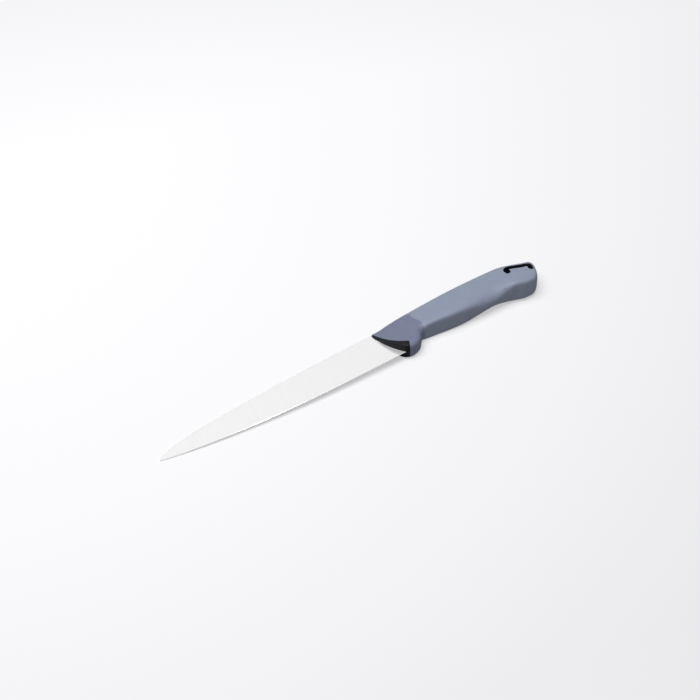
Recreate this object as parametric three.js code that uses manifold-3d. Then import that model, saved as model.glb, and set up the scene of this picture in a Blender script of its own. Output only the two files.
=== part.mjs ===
import * as THREE from "three";
import { mergeVertices } from "three/addons/utils/BufferGeometryUtils.js";
import Module from "manifold-3d";

// A fixed-blade cheese knife lying on its side: a ground stainless blade with a hidden tang,
// a hard core moulded round the tang, and a softer grip moulded over the core.
// It is drawn flat, in millimetres: x runs from the tip (minus) to the butt (plus), y from the
// cutting edge (minus) to the spine (plus), and z across the thickness. The heel is at x 0, y 0.

// Blade
const bladeLength = 175;
const heelHeight = 25.7;
const tipHeight = 11.2;
const spineThickness = 2.0;
const edgeThickness = 0.44;
const tipThickness = 0.8;
const bevelHeight = 0.9;
const edgeLand = 0.1;
const spineEase = 0.25;
const tipBlunt = 0.5;
const heelRise = 0.1;
const spineDrop = [1.6, 2.8];
const bellyStart = 0.24;
const bladeSteps = 36;

// Handle
const handleLength = 119;
const handleThickness = 18.8;
const noseRound = 2.3;
const noseSweep = 4.2;
const noseFace = 0.8;
const noseCorner = 0.5;
const noseBow = 2.3;
const buttRound = 4;
const buttBow = 1.2;
const bowSpan = 0.2;
const squareness = 3.2;
const ringPoints = 32;
const noseSteps = 7;
const sweepSteps = 30;
const buttSteps = 4;

// Core: places along the handle run from 0 at the nose to 1 at the butt.
const flangeDepth = 1.9;
const flangeFoot = [-0.84, -1.12];
const flangeToe = -1.3;
const skin = 2.6;
const coreSpan = [0.015, 0.9];
const ribPlaces = [0.3, 0.46, 0.62];
const ribHeight = 1.0;
const ribWidth = 4;

// Tang: its share of the handle's height falls from the root to its end.
const rootDepth = 1.3;
const tangThickness = 1.9;
const tangEnd = 0.62;
const tangCorner = 3;
const tangShare = [0.52, 0.4];
const tangHolePlaces = [0.24, 0.42];
const tangHoleRadius = 3;

// Hanging slot: each mark is a place along the handle and a distance in from its spine.
const slotWidth = 3;
const liner = 0.5;
const slotSteps = 18;
const slotMarks = [
  [0.779, 9.8],
  [0.773, 8.0],
  [0.784, 6.4],
  [0.81, 5.9],
  [0.855, 6.3],
  [0.9, 6.5],
  [0.935, 6.6],
  [0.957, 7.8],
  [0.962, 10.0],
];

// Clearances
const seatGap = 0.3;
const tangLap = 0.8;

// The handle is swept between two rails, one along the spine and one along the belly.
// Each row: spine x and belly x as parts of the handle's length, spine rise over the blade's heel
// height, belly height over the edge line, thickness share, and how much the spine side thins.
const stations = [
  { spine: [-0.0855, 0.2], belly: [0.0244, -1.5], thick: 0.69, thin: 0.8 },
  { spine: [-0.03, 0.05], belly: [0.071, -3.4], thick: 0.73, thin: 0.7 },
  { spine: [0.042, 0.9], belly: [0.111, -0.5], thick: 0.79, thin: 0.54 },
  { spine: [0.118, 1.35], belly: [0.146, 4.5], thick: 0.85, thin: 0.42 },
  { spine: [0.227, 1.7], belly: [0.24, 4.3], thick: 0.92, thin: 0.32 },
  { spine: [0.403, 2.4], belly: [0.403, 3.0], thick: 0.98, thin: 0.28 },
  { spine: [0.571, 2.6], belly: [0.555, 3.6], thick: 0.97, thin: 0.27 },
  { spine: [0.723, 2.1], belly: [0.664, 4.4], thick: 0.94, thin: 0.25 },
  { spine: [0.815, 1.2], belly: [0.744, 2.6], thick: 0.95, thin: 0.22 },
  { spine: [0.884, -1.6], belly: [0.809, 0], thick: 0.99, thin: 0.2 },
  { spine: [0.948, -4.5], belly: [0.859, -1.2], thick: 1, thin: 0.2 },
  { spine: [1.016, -7.0], belly: [0.937, -1.9], thick: 0.98, thin: 0.2 },
];

const wasm = await Module();
wasm.setup();

// Closed three.js geometry to a solid for cutting and joining, and back.
function solid(drawn) {
  const bare = new THREE.BufferGeometry();
  bare.setAttribute("position", drawn.getAttribute("position"));
  bare.setIndex(drawn.index);
  const merged = mergeVertices(bare, 1e-4);
  const mesh = new wasm.Mesh({
    numProp: 3,
    vertProperties: merged.getAttribute("position").array,
    triVerts: new Uint32Array(merged.index.array),
  });
  return new wasm.Manifold(mesh);
}

function skinOf(body) {
  const mesh = body.getMesh();
  const out = new THREE.BufferGeometry();
  out.setAttribute("position", new THREE.BufferAttribute(mesh.vertProperties, 3));
  out.setIndex(new THREE.BufferAttribute(mesh.triVerts, 1));
  out.computeVertexNormals();
  return out;
}

// A flat shape drawn in x and y, made into a plate centred on z 0.
function plate(shape, thickness) {
  const made = new THREE.ExtrudeGeometry(shape, { depth: thickness, bevelEnabled: false });
  return solid(made.translate(0, 0, -thickness / 2));
}

function peg(place, radius, length) {
  const made = new THREE.CylinderGeometry(radius, radius, length, 24).rotateX(Math.PI / 2);
  return solid(made.translate(place.x, place.y, 0));
}

// Rings of points skinned into one closed surface. Points j and count - j of a ring mirror each
// other across the blade's plane, so the two ends close with strips between them.
function loft(rings) {
  const count = rings[0].length;
  const corners = rings.flat().flatMap((p) => [p.x, p.y, p.z]);
  const faces = [];
  for (let i = 0; i + 1 < rings.length; i++) {
    for (let j = 0; j < count; j++) {
      const a = i * count + j;
      const b = i * count + ((j + 1) % count);
      faces.push(a, b, b + count, a, b + count, a + count);
    }
  }
  const last = (rings.length - 1) * count;
  for (let j = 0; j < count / 2; j++) {
    const far = (count - j) % count;
    const next = count - j - 1;
    if (far !== j) {
      faces.push(j, far, next);
      faces.push(last + j, last + next, last + far);
    }
    if (next !== j + 1) {
      faces.push(j, next, j + 1);
      faces.push(last + j, last + j + 1, last + next);
    }
  }
  const made = new THREE.BufferGeometry();
  made.setAttribute("position", new THREE.Float32BufferAttribute(corners, 3));
  made.setIndex(faces);
  return solid(made);
}

// Rails of the handle. The third coordinate carries half the thickness and the spine's thinning.
const spineRail = new THREE.CatmullRomCurve3(
  stations.map((s) => {
    return new THREE.Vector3(
      s.spine[0] * handleLength,
      heelHeight + s.spine[1],
      (s.thick * handleThickness) / 2,
    );
  }),
  false,
  "catmullrom",
);
const bellyRail = new THREE.CatmullRomCurve3(
  stations.map((s) => new THREE.Vector3(s.belly[0] * handleLength, s.belly[1], s.thin)),
  false,
  "catmullrom",
);

// The frame of the cross-section at u, from 0 at the nose to 1 at the butt.
function section(u) {
  const s = spineRail.getPoint(u);
  const b = bellyRail.getPoint(u);
  const across = new THREE.Vector2(s.x - b.x, s.y - b.y);
  const half = across.length() / 2;
  across.normalize();
  const nearNose = Math.max(0, 1 - u / bowSpan);
  const nearButt = Math.max(0, 1 - (1 - u) / bowSpan);
  return {
    mid: new THREE.Vector2((s.x + b.x) / 2, (s.y + b.y) / 2),
    across,
    along: new THREE.Vector2(across.y, -across.x),
    half,
    depth: s.z,
    thin: b.z,
    bow: buttBow * nearButt ** 2 - noseBow * nearNose ** 2,
  };
}

// A point of the handle's plan: v is 1 on the spine and -1 on the belly, shift runs to the butt.
function plan(u, v, shift = 0) {
  const f = section(u);
  const run = f.bow * (1 - v * v) + shift;
  return f.mid.clone().addScaledVector(f.across, v * f.half).addScaledVector(f.along, run);
}

// How much u covers one millimetre of the handle at u.
function perMillimetre(u) {
  const step = 0.001;
  const from = Math.min(u, 1 - step);
  return step / section(from + step).mid.distanceTo(section(from).mid);
}

// How far behind the nose line its rounding reaches: it sweeps back round the guard's corner.
function noseReach(v, round) {
  return round + noseSweep * ((1 - v) / 2) ** 3;
}

function quarterRound(share) {
  return Math.sqrt(1 - (1 - Math.min(1, share)) ** 2);
}

// One rounded cross-section, drawn in by so much all round. A ring near the nose says how many
// millimetres it lies behind the nose line, and is flattened towards the blade by the rounding.
function ring(u, count, drawn, behind = Infinity) {
  const f = section(u);
  const corner = noseCorner * (1 - quarterRound(behind / noseRound));
  const points = [];
  for (let j = 0; j < count; j++) {
    const turn = (2 * Math.PI * j) / count;
    const c = Math.cos(turn);
    const s = Math.sin(turn);
    const v = Math.sign(c) * Math.abs(c) ** (2 / squareness);
    const w = Math.sign(s) * Math.abs(s) ** (2 / squareness);
    const p = plan(u, (v * (f.half - drawn - corner)) / f.half);
    const rounded = noseFace + (1 - noseFace) * quarterRound(behind / noseReach(v, noseRound));
    const z = (f.depth - drawn) * w * (1 - (f.thin * (1 + v)) / 2) * rounded;
    points.push(new THREE.Vector3(p.x, p.y, j % (count / 2) === 0 ? 0 : z));
  }
  return points;
}

// The handle's whole outside: rounded nose, swept middle, rounded butt.
function outside() {
  const rings = [];
  const noseDepth = noseReach(-1, noseRound);
  for (let i = 0; i <= noseSteps; i++) {
    const behind = noseDepth * (i / noseSteps) ** 1.5;
    rings.push(ring(behind * perMillimetre(0), ringPoints, 0, behind));
  }
  const noseEnd = noseDepth * perMillimetre(0);
  const buttSpan = buttRound * perMillimetre(1);
  for (let i = 1; i < sweepSteps; i++) {
    rings.push(ring(THREE.MathUtils.lerp(noseEnd, 1 - buttSpan, i / sweepSteps), ringPoints, 0));
  }
  for (let i = 0; i <= buttSteps; i++) {
    const t = (Math.PI / 2) * (1 - i / buttSteps);
    rings.push(ring(1 - buttSpan * (1 - Math.cos(t)), ringPoints, buttRound * (1 - Math.sin(t))));
  }
  return loft(rings);
}

// The core's buried body, with locking ribs round it. grow makes the hollow that takes it.
function buried(grow) {
  const inset = skin - grow;
  const from = coreSpan[0] - grow * perMillimetre(coreSpan[0]);
  const to = coreSpan[1] + grow * perMillimetre(coreSpan[1]);
  const marks = [];
  for (let i = 0; i <= 12; i++) {
    const u = THREE.MathUtils.lerp(from, to, i / 12);
    const clear = ribPlaces.every((r) => Math.abs(u - r) > ribWidth * perMillimetre(r));
    if (clear) marks.push([u, inset]);
  }
  for (const r of ribPlaces) {
    const reach = (ribWidth / 2 + grow) * perMillimetre(r);
    marks.push([r - reach, inset], [r - reach, inset - ribHeight]);
    marks.push([r + reach, inset - ribHeight], [r + reach, inset]);
  }
  const inOrder = marks.map((m, i) => [...m, i]).sort((a, b) => a[0] - b[0] || a[2] - b[2]);
  return loft(inOrder.map(([u, d]) => ring(u, 24, d)));
}

// Everything ahead of a line that follows the nose at so many millimetres behind it. The foot of
// the line says how low it starts, at the back and at the front, as v does, and the toe how far
// behind the nose line its front lies.
function ahead(behind, foot = [-1.35, -1.35], toe = -noseBow) {
  const line = [];
  for (let i = 0; i <= 14; i++) {
    const v = THREE.MathUtils.lerp(foot[0], 1.35, i / 14);
    line.push(plan(0, v, noseReach(v, behind)));
  }
  const top = line[line.length - 1];
  const front = plan(0, foot[1], toe);
  const reach = bladeLength * 1.2;
  const shape = new THREE.Shape([
    ...line,
    new THREE.Vector2(top.x - reach, top.y),
    new THREE.Vector2(front.x - reach, front.y),
    front,
  ]);
  return plate(shape, handleThickness * 1.5);
}

// Side outline of the blade: a spine that drops to the point, an edge with a slow belly.
const spineLine = new THREE.CubicBezierCurve(
  new THREE.Vector2(0.1 * handleLength, heelHeight + heelRise),
  new THREE.Vector2(-0.36 * bladeLength, heelHeight - spineDrop[0]),
  new THREE.Vector2(-0.95 * bladeLength, heelHeight - spineDrop[1]),
  new THREE.Vector2(-bladeLength, tipHeight + tipBlunt),
);
const bellyLine = new THREE.CubicBezierCurve(
  new THREE.Vector2(-bellyStart * bladeLength, 0),
  new THREE.Vector2(-0.54 * bladeLength, 0),
  new THREE.Vector2(-0.83 * bladeLength, 0.4 * tipHeight),
  new THREE.Vector2(-bladeLength, tipHeight - tipBlunt),
);

// Height of a curve at x, found by halving, as both curves run steadily towards the tip.
function heightAt(curve, x) {
  let from = 0;
  let to = 1;
  for (let i = 0; i < 40; i++) {
    const middle = (from + to) / 2;
    if (curve.getPoint(middle).x > x) from = middle;
    else to = middle;
  }
  return curve.getPoint(from).y;
}

// Both faces are ground flat: half the thickness falls from spine to edge and from heel to tip.
const fall = (spineThickness - edgeThickness) / 2 / heelHeight;
const taper = ((edgeThickness - tipThickness) / 2 + fall * tipHeight) / bladeLength;
function halfThickness(x, y) {
  return edgeThickness / 2 + fall * y + taper * Math.min(x, 0);
}

// A ring of the blade: spine, ground face, bevel and edge, the two sides mirrored.
function bladeRing(x, grow) {
  const top = heightAt(spineLine, x) + grow;
  const low = (x > bellyLine.v0.x ? 0 : heightAt(bellyLine, x)) - grow;
  const shoulder = low + Math.min(bevelHeight, 0.45 * (top - low));
  const eased = top - Math.min(spineEase, 0.2 * (top - low));
  const side = [
    [top, halfThickness(x, eased) - (top - eased) + grow],
    [eased, halfThickness(x, eased) + grow],
    [shoulder, halfThickness(x, shoulder) + grow],
    [low, edgeLand / 2 + grow],
  ];
  const mirrored = side.map(([y, z]) => [y, -z]).reverse();
  return [[top, 0], ...side, [low, 0], ...mirrored].map(([y, z]) => new THREE.Vector3(x, y, z));
}

function groundBlade(grow) {
  const rings = [];
  for (let i = 0; i <= bladeSteps; i++) {
    rings.push(bladeRing(-bladeLength * Math.cos((Math.PI / 2) * (i / bladeSteps)), grow));
  }
  rings.push(bladeRing(spineLine.v0.x, grow));
  return loft(rings);
}

// The tang runs down the middle of the handle from the blade's root, full sheet thickness.
const tangHoles = tangHolePlaces.map((u) => plan(u, 0));
function tangOutline(grow) {
  const rows = [];
  for (let i = 1; i <= 6; i++) {
    const share = THREE.MathUtils.lerp(tangShare[0], tangShare[1], i / 6);
    rows.push([THREE.MathUtils.lerp(coreSpan[0], tangEnd, i / 6), share, 0]);
  }
  rows.push([tangEnd, tangShare[1] / 2, tangCorner + grow]);
  const edge = (side) => {
    const root = side * (tangShare[0] + grow / section(0).half);
    const points = rows.map(([u, share, shift]) => {
      return plan(u, side * (share + grow / section(u).half), shift);
    });
    return [plan(0, root, noseReach(root, rootDepth) - tangLap - grow), ...points];
  };
  return new THREE.Shape([...edge(-1), ...edge(1).reverse()]);
}

function tang() {
  const shape = tangOutline(0);
  for (const place of tangHoles) {
    shape.holes.push(new THREE.Path().absarc(place.x, place.y, tangHoleRadius, 0, 2 * Math.PI));
  }
  return plate(shape, tangThickness);
}

// The hollow for the tang, bridged by pegs of core that fill the tang's holes and lock it.
function tangHollow() {
  let hollow = plate(tangOutline(seatGap), tangThickness + 2 * seatGap);
  for (const place of tangHoles) {
    hollow = hollow.subtract(peg(place, tangHoleRadius - seatGap, 2 * tangThickness));
  }
  return hollow;
}

// The hanging slot follows the spine round the butt's corner; its front end hooks to the belly.
const slotPath = new THREE.SplineCurve(
  slotMarks.map(([u, inset]) => plan(u, 1 - inset / section(u).half)),
);
function slot(grow) {
  const pegs = slotPath.getPoints(slotSteps).map((place) => {
    return peg(place, slotWidth / 2 + grow, handleThickness * 1.5);
  });
  return wasm.Manifold.union(pegs.slice(1).map((next, i) => wasm.Manifold.hull([pegs[i], next])));
}

const whole = outside();
const bladePocket = groundBlade(seatGap).intersect(ahead(rootDepth + seatGap));

const bladeBody = groundBlade(0).intersect(ahead(rootDepth)).add(tang());

// The core shows as a flange on the nose and as the lining of the hanging slot.
const coreBody = buried(0)
  .add(whole.intersect(ahead(flangeDepth, flangeFoot, flangeToe)))
  .add(whole.intersect(slot(liner)))
  .subtract(slot(0))
  .subtract(bladePocket)
  .subtract(tangHollow());

// The grip is the rest of the handle: it closes round the flange's foot and makes the guard.
const gripFoot = flangeFoot.map((v) => v - seatGap / section(0).half);
const gripBody = whole
  .subtract(buried(seatGap))
  .subtract(ahead(flangeDepth + seatGap, gripFoot, flangeToe + seatGap))
  .subtract(slot(liner + seatGap))
  .subtract(bladePocket);

function piece(name, body, color, roughness, metalness) {
  const mesh = new THREE.Mesh(
    skinOf(body),
    new THREE.MeshStandardMaterial({ color, roughness, metalness }),
  );
  mesh.name = name;
  return mesh;
}

const knife = new THREE.Group();
knife.add(piece("blade", bladeBody, 0xdcdee0, 0.32, 1));
knife.add(piece("handle_core", coreBody, 0x191a1d, 0.5, 0));
knife.add(piece("handle_grip", gripBody, 0x7f889b, 0.6, 0));

// At rest the blade near its point and the underside of the handle touch the table: the knife is
// turned until its lowest points ahead of the heel and behind it are level.
function restTilt(group) {
  const points = group.children.flatMap((mesh) => {
    const place = mesh.geometry.getAttribute("position");
    return Array.from({ length: place.count }, (_, i) => new THREE.Vector3().fromBufferAttribute(place, i));
  });
  let tilt = 0;
  for (let i = 0; i < 8; i++) {
    const level = (p) => p.x * Math.sin(tilt) + p.z * Math.cos(tilt);
    const lowest = (some) => some.reduce((a, b) => (level(b) < level(a) ? b : a));
    const front = lowest(points.filter((p) => p.x < 0));
    const back = lowest(points.filter((p) => p.x > 0));
    tilt = Math.atan2(front.z - back.z, back.x - front.x);
  }
  return tilt;
}
knife.rotation.y = -restTilt(knife);
const box = new THREE.Box3().setFromObject(knife, true);
knife.position.set(-(box.min.x + box.max.x) / 2, -(box.min.y + box.max.y) / 2, -box.min.z);

const part = new THREE.Group();
part.add(knife);
export default part;
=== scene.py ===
import functools
import math

import bmesh
import bpy
from mathutils import Matrix, Vector
from mathutils.geometry import interpolate_bezier, intersect_point_line


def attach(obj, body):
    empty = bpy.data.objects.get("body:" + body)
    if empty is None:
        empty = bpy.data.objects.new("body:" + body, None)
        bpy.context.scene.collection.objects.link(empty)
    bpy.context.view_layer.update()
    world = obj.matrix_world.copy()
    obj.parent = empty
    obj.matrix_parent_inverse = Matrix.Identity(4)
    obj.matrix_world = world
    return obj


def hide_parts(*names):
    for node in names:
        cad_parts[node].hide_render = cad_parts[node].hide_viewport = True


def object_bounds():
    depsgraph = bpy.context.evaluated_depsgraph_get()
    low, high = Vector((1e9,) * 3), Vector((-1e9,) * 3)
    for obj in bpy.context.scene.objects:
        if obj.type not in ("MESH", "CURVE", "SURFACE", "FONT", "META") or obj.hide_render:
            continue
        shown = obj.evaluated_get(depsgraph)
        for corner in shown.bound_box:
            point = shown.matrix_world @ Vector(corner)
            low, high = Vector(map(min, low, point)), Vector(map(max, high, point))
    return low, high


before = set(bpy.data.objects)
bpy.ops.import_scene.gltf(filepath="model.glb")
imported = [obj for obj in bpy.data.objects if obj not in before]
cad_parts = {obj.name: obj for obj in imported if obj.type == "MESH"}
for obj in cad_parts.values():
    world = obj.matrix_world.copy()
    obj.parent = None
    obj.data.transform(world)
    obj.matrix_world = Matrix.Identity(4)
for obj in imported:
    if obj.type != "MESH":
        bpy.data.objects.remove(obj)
cad_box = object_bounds()

# BLADE
# One strip of stainless steel, ground flat from spine to edge and from heel to tip, with a fine
# bevel honed along the edge. A narrower tang runs on inside the handle and holds it.

BLADE_LENGTH = 175.0
HEEL_HEIGHT = 25.7
TIP_TOP, TIP_LOW = 11.7, 10.7
SPINE_THICKNESS, EDGE_THICKNESS, TIP_THICKNESS = 2.0, 0.44, 0.8
BEVEL_HEIGHT, EDGE_LAND, SPINE_ROUND = 0.3, 0.1, 0.3
BEVEL_SHARE, ROUND_SHARE = 0.45, 0.2
HIDDEN_END = 11.9
TANG_THICKNESS = 1.9
CUT_THROUGH = 40.0
BLADE_ROWS, CURVE_STEPS = 120, 300
REST_SLOPE = 0.035854
EDGE_TO_MIDDLE = 12.474091

# The slanting end of the ground blade, and the outline of the tang behind it.
ROOT = [(6.2, -6), (-11.9, 32), (-200, 32), (-200, -6)]
TANG = [
    (-2, 5.6), (6.7, 4.6), (12.9, 8.1), (21.3, 10.8), (39.8, 10.3), (61.5, 10.6), (78.8, 11.5), (82.4, 13),
    (83.6, 17.7), (81.4, 20.9), (62, 21.1), (39.5, 21), (20.3, 21.2), (9.9, 20.2), (1.1, 18.6), (-9, 18.8),
]

face_fall = (SPINE_THICKNESS - EDGE_THICKNESS) / 2 / HEEL_HEIGHT
tip_fall = ((EDGE_THICKNESS - TIP_THICKNESS) / 2 + face_fall * (TIP_TOP + TIP_LOW) / 2) / BLADE_LENGTH


def half_thickness(x, y):
    """Half the blade's thickness: it falls from spine to edge and from heel to tip."""
    return EDGE_THICKNESS / 2 + face_fall * y + tip_fall * min(x, 0.0)


# The knife is drawn flat, in millimetres from its heel, then laid on the table on tip and butt.
rest_angle = math.asin(REST_SLOPE)
tip_half = half_thickness(-BLADE_LENGTH, TIP_TOP - ROUND_SHARE * (TIP_TOP - TIP_LOW))
heel_from_tip = BLADE_LENGTH * math.cos(rest_angle) + tip_half * REST_SLOPE
heel_height = BLADE_LENGTH * REST_SLOPE + tip_half * math.cos(rest_angle)
lie_down = (
    Matrix.Translation((cad_box[0][0] + heel_from_tip / 1000, -EDGE_TO_MIDDLE / 1000, heel_height / 1000))
    @ Matrix.Rotation(-rest_angle, 4, "Y")
    @ Matrix.Scale(0.001, 4)
)
spine_marks = [(HIDDEN_END, 25.8), (-63, 24.1), (-166.25, 22.9), (-BLADE_LENGTH, TIP_TOP)]
belly_marks = [(-42, 0), (-94.5, 0), (-145.25, 4.48), (-BLADE_LENGTH, TIP_LOW)]
spine_line = interpolate_bezier(*map(Vector, spine_marks), CURVE_STEPS)
belly_line = interpolate_bezier(*map(Vector, belly_marks), CURVE_STEPS)


def height_at(line, x):
    """Height of a line that runs steadily towards the tip, level before its start."""
    for a, b in zip(line, line[1:]):
        if b.x <= x:
            return a.y + (b.y - a.y) * max(0.0, a.x - x) / (a.x - b.x)
    return line[-1].y


def new_piece(name, bm):
    mesh = bpy.data.meshes.new(name)
    bm.to_mesh(mesh)
    bm.free()
    piece = bpy.data.objects.new(name, mesh)
    bpy.context.scene.collection.objects.link(piece)
    return piece


def rolled_grid(name, rows, around, place):
    """Rolls a grid into a closed body. place(row, turn) says where a point goes, turn from 0 to 1."""
    bm = bmesh.new()
    bmesh.ops.create_grid(bm, x_segments=len(rows) - 1, y_segments=around, size=0.5)
    for vert in bm.verts:
        row = rows[round((vert.co.x + 0.5) * (len(rows) - 1))]
        vert.co = place(row, round((vert.co.y + 0.5) * around) / around)
    bmesh.ops.remove_doubles(bm, verts=bm.verts, dist=1e-3)
    bmesh.ops.recalc_face_normals(bm, faces=bm.faces)
    return new_piece(name, bm)


def slab(name, outline, thickness):
    """A flat outline extruded to both sides of the blade's plane."""
    bm = bmesh.new()
    face = bm.faces.new([bm.verts.new((p[0], p[1], -thickness / 2)) for p in outline])
    under = bmesh.ops.triangulate(bm, faces=[face])["faces"]
    raised = bmesh.ops.extrude_face_region(bm, geom=under)["geom"]
    top = [g for g in raised if isinstance(g, bmesh.types.BMVert)]
    bmesh.ops.translate(bm, verts=top, vec=(0, 0, thickness))
    bmesh.ops.recalc_face_normals(bm, faces=bm.faces)
    return new_piece(name, bm)


def carve(piece, tool, operation):
    """Cuts, joins or keeps what two bodies share, and puts the tool away."""
    cut = piece.modifiers.new("carve", "BOOLEAN")
    cut.object, cut.operation, cut.solver = tool, operation, "MANIFOLD"
    shaped = bpy.data.meshes.new_from_object(piece.evaluated_get(bpy.context.evaluated_depsgraph_get()))
    piece.modifiers.clear()
    piece.data = shaped
    bpy.data.objects.remove(tool)


def copy_of(piece):
    twin = bpy.data.objects.new(piece.name + "_space", piece.data.copy())
    bpy.context.scene.collection.objects.link(twin)
    return twin


def lay_down(piece, crease, material):
    """Lays a finished piece on the table, shaded smooth up to its creases, in one material."""
    bm = bmesh.new()
    bm.from_mesh(piece.data)
    bm.transform(lie_down)
    for face in bm.faces:
        face.smooth = True
        face.material_index = 0
    for edge in bm.edges:
        edge.smooth = len(edge.link_faces) == 2 and edge.calc_face_angle() < math.radians(crease)
    bm.to_mesh(piece.data)
    bm.free()
    piece.data.materials.clear()
    piece.data.materials.append(material)


def blade_section(x):
    """Half the blade's section, spine to edge, as heights and half thicknesses."""
    top, low = height_at(spine_line, x), height_at(belly_line, x)
    shoulder = low + min(BEVEL_HEIGHT, BEVEL_SHARE * (top - low))
    ease = min(SPINE_ROUND, ROUND_SHARE * (top - low))
    flat = half_thickness(x, top - ease) - ease
    turns = (0, 0.52, 1.05, math.pi / 2)
    rounded = [(top - ease * (1 - math.cos(a)), flat + ease * math.sin(a)) for a in turns]
    face = [top - ease + (shoulder - top + ease) * k / 4 for k in range(1, 5)]
    ground = [(y, half_thickness(x, y)) for y in face]
    return [(top, 0.0), *rounded, *ground, (low, EDGE_LAND / 2), (low, 0.0)]


blade_rows = []
for step in range(BLADE_ROWS + 1):
    x = -BLADE_LENGTH * math.cos(math.pi / 2 * step / BLADE_ROWS)
    half_section = blade_section(x)
    if step == 0:
        blade_rows.append((x, [(y, 0.0) for y, z in half_section]))
    blade_rows.append((x, half_section))
end_section = blade_section(HIDDEN_END)
blade_rows += [(HIDDEN_END, end_section), (HIDDEN_END, [(y, 0.0) for y, z in end_section])]
half_count = len(end_section) - 1


def blade_point(row, turn):
    step = round(turn * 2 * half_count)
    y, z = row[1][step if step <= half_count else 2 * half_count - step]
    return Vector((row[0], y, z if step <= half_count else -z))


blade = rolled_grid("blade_steel_strip", blade_rows, 2 * half_count, blade_point)
carve(blade, slab("root", ROOT, CUT_THROUGH), "INTERSECT")
carve(blade, slab("tang", TANG, TANG_THICKNESS), "UNION")
blade_space = copy_of(blade)

blade_steel = bpy.data.materials.new("satin_blade_steel")
blade_steel.use_nodes = True
nodes, links = blade_steel.node_tree.nodes, blade_steel.node_tree.links
steel = nodes["Principled BSDF"]
steel.inputs["Metallic"].default_value = 0.5
spot = nodes.new("ShaderNodeTexCoord")
belt = nodes.new("ShaderNodeMapping")
belt.inputs["Scale"].default_value = (9000, 160, 160)
lines = nodes.new("ShaderNodeTexNoise")
lines.inputs["Scale"].default_value = 1.0
lines.inputs["Detail"].default_value = 3.0
tone = nodes.new("ShaderNodeValToRGB")
tone.color_ramp.elements[0].position = 0.3
tone.color_ramp.elements[0].color = (0.775, 0.775, 0.775, 1)
tone.color_ramp.elements[1].position = 0.7
tone.color_ramp.elements[1].color = (0.845, 0.845, 0.845, 1)
gloss = nodes.new("ShaderNodeMapRange")
gloss.inputs["To Min"].default_value = 0.16
gloss.inputs["To Max"].default_value = 0.22
links.new(spot.outputs["Object"], belt.inputs["Vector"])
links.new(belt.outputs["Vector"], lines.inputs["Vector"])
links.new(lines.outputs["Fac"], tone.inputs["Fac"])
links.new(tone.outputs["Color"], steel.inputs["Base Color"])
links.new(lines.outputs["Fac"], gloss.inputs["Value"])
links.new(gloss.outputs["Result"], steel.inputs["Roughness"])

lay_down(blade, 8, blade_steel)
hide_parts("blade")
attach(blade, "root")

# HANDLE CORE
# A hard black moulding round the tang. It shows as the dark face between grip and blade, and as
# the lining of the hanging slot. The grip is moulded over the rest of it.

HANDLE_LENGTH = 119.0
HANDLE_THICKNESS = 18.8
NOSE_ROUND, NOSE_SWEEP, NOSE_FACE, NOSE_CORNER, NOSE_BOW = 2.3, 4.2, 0.86, 0.5, 2.3
BUTT_ROUND, BUTT_BOW = 4.0, 1.2
SPINE_SQUARENESS = 3.2
FLANGE_DEPTH = 1.9
FLANGE_FOOT = (-0.84, -1.12)
FLANGE_TOE = -1.3
GRIP_SKIN = 2.6
CORE_INSET, GRIP_INSET = 0.1, 0.07
SLOT_WIDTH = 3.0
SLOT_LINING = 0.5
SLOT_LIP = 1.2
LIP_ZONE, LIP_START, FINE_SPAN = 0.7, 0.72, (0.76, 0.98)
FINE_ROW, COARSE_ROW = 0.3, 0.8
NOSE_ROWS, BUTT_ROWS, SLOT_STEPS, NOSE_STEPS = 14, 12, 48, 40
AROUND, CORE_AROUND = 144, 48
PAST_NOSE, CUT_AHEAD, OVER_SPINE, BOW_SPAN = 99.0, 60.0, 1.35, 0.2
CORE_START, CORE_SPAN, CORE_ROWS = 0.015, 0.885, 30

# The slot's middle line: place along the handle and inset from the spine.
SLOT_MARKS = [
    (0.779, 9.6), (0.773, 7.8), (0.784, 6.0), (0.81, 5.4), (0.855, 5.6), (0.9, 5.7), (0.935, 5.6),
    (0.957, 6.6), (0.964, 9.4),
]

# Spine x and rise, belly x and height, thickness share, thinning towards the spine, belly squareness.
STATIONS = [
    (-0.0855, 0.2, 0.024, -1.5, 0.77, 0.82, 5.0),
    (-0.030, 0.05, 0.065, -2.2, 0.775, 0.715, 4.5),
    (0.042, 0.9, 0.114, 0.0, 0.78, 0.54, 4.4),
    (0.118, 1.35, 0.162, 5.5, 0.83, 0.42, 3.2),
    (0.227, 1.7, 0.222, 6.4, 0.86, 0.32, 6.2),
    (0.403, 2.4, 0.403, 4.1, 0.945, 0.28, 5.2),
    (0.571, 2.6, 0.555, 3.2, 0.95, 0.27, 2.8),
    (0.723, 2.1, 0.664, 3.0, 0.935, 0.25, 2.2),
    (0.815, 1.2, 0.744, 3.2, 0.945, 0.22, 3.8),
    (0.884, -1.6, 0.809, 2.4, 0.99, 0.20, 6.4),
    (0.948, -4.5, 0.859, 0.5, 0.975, 0.20, 6.4),
    (1.016, -7.0, 0.937, -0.4, 0.95, 0.20, 4.8),
]
spine_rail = [
    Vector((s[0] * HANDLE_LENGTH, HEEL_HEIGHT + s[1], s[4] * HANDLE_THICKNESS / 2)) for s in STATIONS
]
belly_rail = [Vector((s[2] * HANDLE_LENGTH, s[3], s[5], s[6])) for s in STATIONS]


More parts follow.
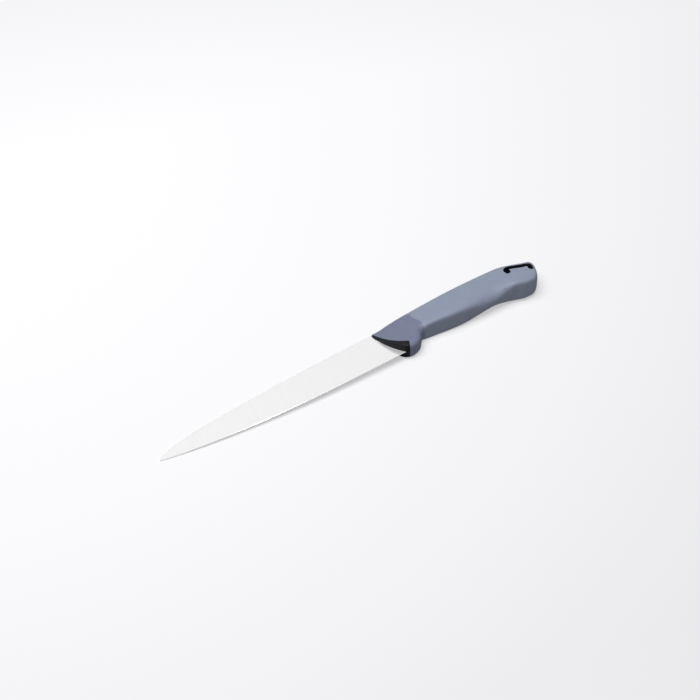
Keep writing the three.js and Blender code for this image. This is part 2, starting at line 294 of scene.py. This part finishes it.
def along(rail, u):
    """A point of the smooth rail through its marks, u running from 0 to 1."""
    spans = len(rail) - 1
    i = max(0, min(int(u * spans), spans - 1))
    t = u * spans - i
    a, b = rail[i], rail[i + 1]
    before = rail[i - 1] if i else 2 * a - b
    after = rail[i + 2] if i + 2 <= spans else 2 * b - a
    leave, meet = (b - before) / 2, (after - a) / 2
    start, end = 2 * t**3 - 3 * t**2 + 1, 3 * t**2 - 2 * t**3
    return a * start + leave * (t**3 - 2 * t**2 + t) + b * end + meet * (t**3 - t**2)


@functools.cache
def section(u):
    """The handle at u: middle, direction to the spine, half height, half thickness, thinning, bow,
    squareness of the belly."""
    s, b = along(spine_rail, u), along(belly_rail, u)
    across = Vector((s.x - b.x, s.y - b.y))
    near_butt, near_nose = max(0.0, 1 - (1 - u) / BOW_SPAN), max(0.0, 1 - u / BOW_SPAN)
    bow = BUTT_BOW * near_butt**2 - NOSE_BOW * near_nose**2
    middle = Vector(((s.x + b.x) / 2, (s.y + b.y) / 2))
    return middle, across.normalized(), across.length / 2, s.z, b.z, bow, b.w


def plan(u, v, shift=0.0):
    """A point in the handle's plan: v is 1 on the spine and -1 on the belly, shift runs to the butt."""
    middle, across, half, depth, thin, bow, belly = section(u)
    to_butt = Vector((across.y, -across.x))
    return middle + across * (v * half) + to_butt * (bow * (1 - v * v) + shift)


def per_millimetre(u):
    start = min(u, 0.999)
    return 0.001 / (section(start + 0.001)[0] - section(start)[0]).length


def quarter_round(share):
    return math.sqrt(1 - (1 - min(1.0, share)) ** 2)


def nose_reach(v, depth):
    """How far behind the nose line a rounding of that depth ends: it sweeps back round the guard."""
    return depth + NOSE_SWEEP * ((1 - v) / 2) ** 3


slot_line = [plan(u, 1 - inset / section(u)[2]) for u, inset in SLOT_MARKS]
slot_line = [along(slot_line, k / SLOT_STEPS) for k in range(SLOT_STEPS + 1)]


def from_slot(p):
    """How far p lies from the middle line of the hanging slot."""
    reach = math.inf
    for a, b in zip(slot_line, slot_line[1:]):
        foot, share = intersect_point_line(p, a, b)
        foot = a if share < 0 else b if share > 1 else foot
        reach = min(reach, (foot.xy - p.xy).length)
    return reach


def slot_lip(p):
    """How far the surface turns down at p into the hanging slot."""
    if p.x < LIP_ZONE * HANDLE_LENGTH:
        return 0.0
    gap = max(0.0, from_slot(p) - SLOT_WIDTH / 2)
    return 0.0 if gap > SLOT_LIP else SLOT_LIP - math.sqrt(SLOT_LIP**2 - (SLOT_LIP - gap) ** 2)


def handle_point(row, turn):
    """A point on a rounded cross-section. A row is u, how far it is drawn in, how far it lies
    behind the nose, how much it is flattened to close the end, and whether the slot's lip shows."""
    u, drawn, behind, flat, lip = row
    middle, across, half, depth, thin, bow, belly = section(u)
    c, s = math.cos(2 * math.pi * turn), math.sin(2 * math.pi * turn)
    square = belly if c < 0 else SPINE_SQUARENESS
    v = math.copysign(abs(c) ** (2 / square), c)
    w = math.copysign(abs(s) ** (2 / square), s)
    corner = NOSE_CORNER * (1 - quarter_round(behind / NOSE_ROUND))
    p = plan(u, v * (half - drawn - corner) / half)
    nose = NOSE_FACE + (1 - NOSE_FACE) * quarter_round(behind / nose_reach(v, NOSE_ROUND))
    z = (depth - drawn) * abs(w) * (1 - thin * (1 + v) / 2) * nose * flat
    if lip:
        z = max(0.3 * z, z - slot_lip(p))
    return Vector((p.x, p.y, 0.0 if turn in (0.0, 0.5, 1.0) else math.copysign(z, w)))


def handle_outside(name, inset):
    """The whole outside of the handle: rounded nose, swept middle, rounded butt."""
    nose = nose_reach(-1, NOSE_ROUND)
    butt = BUTT_ROUND * per_millimetre(1)
    first, last = inset * per_millimetre(0), 1 - inset * per_millimetre(1)
    rows = [(first, inset, 0.0, k / 4, False) for k in range(4)]
    for i in range(NOSE_ROWS + 1):
        behind = nose * (i / NOSE_ROWS) ** 1.5
        rows.append((first + behind * per_millimetre(0), inset, behind, 1.0, False))
    u = rows[-1][0]
    while u < last - butt:
        rows.append((u, inset, PAST_NOSE, 1.0, u > LIP_START))
        fine = FINE_SPAN[0] < u < FINE_SPAN[1]
        u += (FINE_ROW if fine else COARSE_ROW) * per_millimetre(u)
    for i in range(BUTT_ROWS + 1):
        t = math.pi / 2 * (1 - i / BUTT_ROWS)
        drawn = inset + (BUTT_ROUND - inset) * (1 - math.sin(t))
        rows.append((last - butt * (1 - math.cos(t)), drawn, PAST_NOSE, 1.0, True))
    rows += [(last, BUTT_ROUND, PAST_NOSE, 1 - k / 4, False) for k in range(1, 5)]
    return rolled_grid(name, rows, AROUND, handle_point)


def ahead_of_nose(name, depth, foot):
    """The space ahead of a line so many millimetres behind the nose, down to its foot."""
    marks = [foot[0] + (OVER_SPINE - foot[0]) * k / NOSE_STEPS for k in range(NOSE_STEPS + 1)]
    line = [plan(0, v, nose_reach(v, depth)) for v in marks]
    toe = plan(0, foot[1], FLANGE_TOE)
    ahead = Vector((CUT_AHEAD, 0))
    return slab(name, [*line, line[-1] - ahead, toe - ahead, toe], CUT_THROUGH)


def end_round(a, b):
    """Half a circle from a to b, without its ends."""
    return [(a + b) / 2 + Matrix.Rotation(math.pi * k / 12, 2) @ ((a - b) / 2) for k in range(1, 12)]


def slot_space(name, grow):
    """The hanging slot grown by so much: two sides along its line and a half round at each end."""
    half = SLOT_WIDTH / 2 + grow
    left, right = [], []
    for k, p in enumerate(slot_line):
        run = (slot_line[min(k + 1, SLOT_STEPS)] - slot_line[max(k - 1, 0)]).normalized() * half
        left.append(p + Vector((run.y, -run.x)))
        right.append(p - Vector((run.y, -run.x)))
    ends = end_round(left[-1], right[-1]), end_round(right[0], left[0])
    outline = [*left, *ends[0], *reversed(right), *ends[1]]
    return slab(name, [p for p in outline if from_slot(p) > 0.98 * half], CUT_THROUGH)


core = handle_outside("core_moulding", CORE_INSET)
carve(core, ahead_of_nose("nose_front", FLANGE_DEPTH, FLANGE_FOOT), "INTERSECT")
lining = handle_outside("slot_lining", CORE_INSET)
carve(lining, slot_space("lining_space", SLOT_LINING), "INTERSECT")
carve(core, lining, "UNION")
buried_at = [CORE_START + CORE_SPAN * k / CORE_ROWS for k in range(CORE_ROWS + 1)]
buried_rows = [(u, GRIP_SKIN, PAST_NOSE, 1.0, False) for u in buried_at]
buried_rows = [(*buried_rows[0][:3], 0.0, False), *buried_rows, (*buried_rows[-1][:3], 0.0, False)]
carve(core, rolled_grid("buried_core", buried_rows, CORE_AROUND, handle_point), "UNION")
carve(core, slot_space("slot_hole", 0), "DIFFERENCE")
carve(core, copy_of(blade_space), "DIFFERENCE")
core_space = copy_of(core)

# The mould's satin finish: a fine grain all over and a broad unevenness of tone.
mould_finish = bpy.data.node_groups.new("mould_finish", "ShaderNodeTree")
mould_finish.interface.new_socket("Tone", in_out="OUTPUT", socket_type="NodeSocketFloat")
mould_finish.interface.new_socket("Grain", in_out="OUTPUT", socket_type="NodeSocketFloat")
spot = mould_finish.nodes.new("ShaderNodeTexCoord")
given = mould_finish.nodes.new("NodeGroupOutput")
for socket, scale in (("Tone", 170.0), ("Grain", 2400.0)):
    noise = mould_finish.nodes.new("ShaderNodeTexNoise")
    noise.inputs["Scale"].default_value = scale
    noise.inputs["Detail"].default_value = 4.0
    mould_finish.links.new(spot.outputs["Object"], noise.inputs["Vector"])
    mould_finish.links.new(noise.outputs["Fac"], given.inputs[socket])


def moulded(material, depth):
    """Gives a material the mould's finish, with a grain so deep, and returns its tone."""
    nodes, links = material.node_tree.nodes, material.node_tree.links
    finish = nodes.new("ShaderNodeGroup")
    finish.node_tree = mould_finish
    bump = nodes.new("ShaderNodeBump")
    bump.inputs["Strength"].default_value = 0.5
    bump.inputs["Distance"].default_value = depth
    links.new(finish.outputs["Grain"], bump.inputs["Height"])
    links.new(bump.outputs["Normal"], nodes["Principled BSDF"].inputs["Normal"])
    return finish.outputs["Tone"]


core_black = bpy.data.materials.new("black_core_plastic")
core_black.use_nodes = True
nodes, links = core_black.node_tree.nodes, core_black.node_tree.links
black = nodes["Principled BSDF"]
black.inputs["Specular IOR Level"].default_value = 0.1
tone = moulded(core_black, 0.00002)
shade = nodes.new("ShaderNodeValToRGB")
shade.color_ramp.elements[0].position = 0.3
shade.color_ramp.elements[0].color = (0.006, 0.006, 0.009, 1)
shade.color_ramp.elements[1].position = 0.7
shade.color_ramp.elements[1].color = (0.011, 0.011, 0.015, 1)
gloss = nodes.new("ShaderNodeMapRange")
gloss.inputs["To Min"].default_value = 0.42
gloss.inputs["To Max"].default_value = 0.56
links.new(tone, shade.inputs["Fac"])
links.new(shade.outputs["Color"], black.inputs["Base Color"])
links.new(tone, gloss.inputs["Value"])
links.new(gloss.outputs["Result"], black.inputs["Roughness"])

lay_down(core, 40, core_black)
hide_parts("handle_core")
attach(core, "root")

# HANDLE GRIP
# A blue-grey moulding over the core: bolster, finger guard, palm swell and flared butt in one.
# Its surface has the fine satin grain of the mould.

SEAM = 0.03
# Where the bolster's painted shade fades into the grip's own tone.
BOLSTER_END = (0.0467, 0.0497)

grip = handle_outside("grip_moulding", GRIP_INSET)
grip_foot = (FLANGE_FOOT[0] - SEAM / 15, FLANGE_FOOT[1] - SEAM / 15)
carve(grip, ahead_of_nose("nose_cut", FLANGE_DEPTH + SEAM, grip_foot), "DIFFERENCE")
carve(grip, slot_space("slot_cut", SLOT_LINING + SEAM), "DIFFERENCE")
carve(grip, core_space, "DIFFERENCE")
carve(grip, blade_space, "DIFFERENCE")

grip_grey = bpy.data.materials.new("grey_grip_plastic")
grip_grey.use_nodes = True
nodes, links = grip_grey.node_tree.nodes, grip_grey.node_tree.links
grey = nodes["Principled BSDF"]
grey.inputs["Specular IOR Level"].default_value = 0.4
tone = moulded(grip_grey, 0.00003)

# Behind the bolster the grip is paler: the bolster's darker tone is painted shade, standing in for its tilt
# away from the light and for the sheen the grip behind it catches. The line between the two tones leans a
# little, as the nose does.
spot = nodes.new("ShaderNodeTexCoord")
lean = nodes.new("ShaderNodeVectorMath")
lean.operation = "DOT_PRODUCT"
lean.inputs[1].default_value = (1.0, 0.13, 0.0)
behind = nodes.new("ShaderNodeMapRange")
behind.inputs["From Min"].default_value, behind.inputs["From Max"].default_value = BOLSTER_END
links.new(spot.outputs["Object"], lean.inputs[0])
links.new(lean.outputs["Value"], behind.inputs["Value"])
bolster_shade_and_tone = nodes.new("ShaderNodeMath")
bolster_shade_and_tone.operation = "MULTIPLY_ADD"
bolster_shade_and_tone.inputs[1].default_value = 0.5
half_tone = nodes.new("ShaderNodeMapRange")
half_tone.inputs["From Min"].default_value = 0.3
half_tone.inputs["From Max"].default_value = 0.7
half_tone.inputs["To Max"].default_value = 0.5
links.new(tone, half_tone.inputs["Value"])
links.new(behind.outputs["Result"], bolster_shade_and_tone.inputs[0])
links.new(half_tone.outputs["Result"], bolster_shade_and_tone.inputs[2])
# The ramp's lower half is the bolster's painted shade, its upper half the grip's own blue-grey.
shade = nodes.new("ShaderNodeValToRGB")
shade.color_ramp.elements[0].color = (0.142, 0.159, 0.236, 1)
shade.color_ramp.elements[1].color = (0.240, 0.274, 0.362, 1)
for place, colour in ((0.49, (0.150, 0.168, 0.248, 1)), (0.51, (0.226, 0.259, 0.343, 1))):
    shade.color_ramp.elements.new(place).color = colour
gloss = nodes.new("ShaderNodeMapRange")
gloss.inputs["To Min"].default_value = 0.5
gloss.inputs["To Max"].default_value = 0.42
links.new(bolster_shade_and_tone.outputs["Value"], shade.inputs["Fac"])
links.new(shade.outputs["Color"], grey.inputs["Base Color"])
links.new(bolster_shade_and_tone.outputs["Value"], gloss.inputs["Value"])
links.new(gloss.outputs["Result"], grey.inputs["Roughness"])

lay_down(grip, 40, grip_grey)
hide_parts("handle_grip")
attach(grip, "root")

# TABLE
# A plain white table top that the knife lies on. It is far larger than the view. Towards its back it shows
# a little paler to the camera: painted light, standing in for the lamp's falloff across the table.

bm = bmesh.new()
bmesh.ops.create_grid(bm, x_segments=1, y_segments=1, size=6)
table = new_piece("table", bm)
table_white = bpy.data.materials.new("white_table")
table_white.use_nodes = True
white = table_white.node_tree.nodes["Principled BSDF"]
white.inputs["Base Color"].default_value = (0.42, 0.42, 0.43, 1)
white.inputs["Roughness"].default_value = 0.9
white.inputs["Specular IOR Level"].default_value = 0.1
nodes, links = table_white.node_tree.nodes, table_white.node_tree.links
bright = nodes.new("ShaderNodeEmission")
bright.inputs["Color"].default_value = (0.985, 0.985, 1.0, 1)
path = nodes.new("ShaderNodeLightPath")
glow = nodes.new("ShaderNodeMapRange")
spot = nodes.new("ShaderNodeTexCoord")
# The camera-only glow rises towards the table's back: painted light in place of the lamp's falloff.
depth = nodes.new("ShaderNodeVectorMath")
depth.operation = "DOT_PRODUCT"
depth.inputs[1].default_value = (0.2, 0.98, 0.0)
painted_falloff = nodes.new("ShaderNodeMapRange")
painted_falloff.inputs["From Min"].default_value, painted_falloff.inputs["From Max"].default_value = -0.25, 0.3
painted_falloff.inputs["To Min"].default_value, painted_falloff.inputs["To Max"].default_value = 0.40, 0.60
both = nodes.new("ShaderNodeAddShader")
links.new(spot.outputs["Object"], depth.inputs[0])
links.new(depth.outputs["Value"], painted_falloff.inputs["Value"])
links.new(painted_falloff.outputs["Result"], glow.inputs["To Max"])
links.new(path.outputs["Is Camera Ray"], glow.inputs["Value"])
links.new(glow.outputs["Result"], bright.inputs["Strength"])
links.new(white.outputs["BSDF"], both.inputs[0])
links.new(bright.outputs["Emission"], both.inputs[1])
links.new(both.outputs["Shader"], nodes["Material Output"].inputs["Surface"])
table.data.materials.append(table_white)

# LIGHT
# One large soft lamp high above the knife, a little towards its tip, in a pale room. The room looks
# white to the camera and in reflections, and adds only a little light of its own.

LAMP_PLACE = Vector((-0.25, -0.05, 1.05))
LAMP_SIDE = 0.8
LAMP_WATTS = 14.5
ROOM_LIGHT = 0.06

scene = bpy.context.scene
room = bpy.data.worlds.new("pale_room")
room.use_nodes = True
scene.world = room
nodes, links = room.node_tree.nodes, room.node_tree.links
sky = nodes["Background"]
sky.inputs["Color"].default_value = (1, 1, 1, 1)
path = nodes.new("ShaderNodeLightPath")
seen = nodes.new("ShaderNodeMath")
seen.operation = "MAXIMUM"
links.new(path.outputs["Is Camera Ray"], seen.inputs[0])
links.new(path.outputs["Is Glossy Ray"], seen.inputs[1])
also = nodes.new("ShaderNodeMath")
also.operation = "MAXIMUM"
links.new(seen.outputs[0], also.inputs[0])
links.new(path.outputs["Is Transmission Ray"], also.inputs[1])
level = nodes.new("ShaderNodeMapRange")
level.inputs["To Min"].default_value = ROOM_LIGHT
level.inputs["To Max"].default_value = 1.0
links.new(also.outputs[0], level.inputs["Value"])
links.new(level.outputs["Result"], sky.inputs["Strength"])

lamp_data = bpy.data.lights.new("soft_box", "AREA")
lamp_data.shape = "RECTANGLE"
lamp_data.size, lamp_data.size_y = LAMP_SIDE, LAMP_SIDE
lamp_data.energy = LAMP_WATTS
lamp = bpy.data.objects.new("soft_box", lamp_data)
lamp.location = LAMP_PLACE
lamp.rotation_euler = (-LAMP_PLACE).to_track_quat("-Z", "Y").to_euler()
scene.collection.objects.link(lamp)

# CAMERA
# The photograph's own view: from the belly side and the tip, 45 degrees above the table.

camera_data = bpy.data.cameras.new("photo_camera")
camera_data.sensor_width = 36
camera_data.lens = 70.44
camera = bpy.data.objects.new("photo_camera", camera_data)
azimuth, elevation, distance = math.radians(-33.463), math.radians(45), 0.9
target = Vector((-0.00132, 0.00832, 0.008))
back = Vector(
    (math.sin(azimuth) * math.cos(elevation), -math.cos(azimuth) * math.cos(elevation), math.sin(elevation))
)
camera.location = target + back * distance
camera.rotation_euler = (-back).to_track_quat("-Z", "Y").to_euler()
scene.collection.objects.link(camera)
scene.camera = camera
scene.view_settings.view_transform = "Standard"
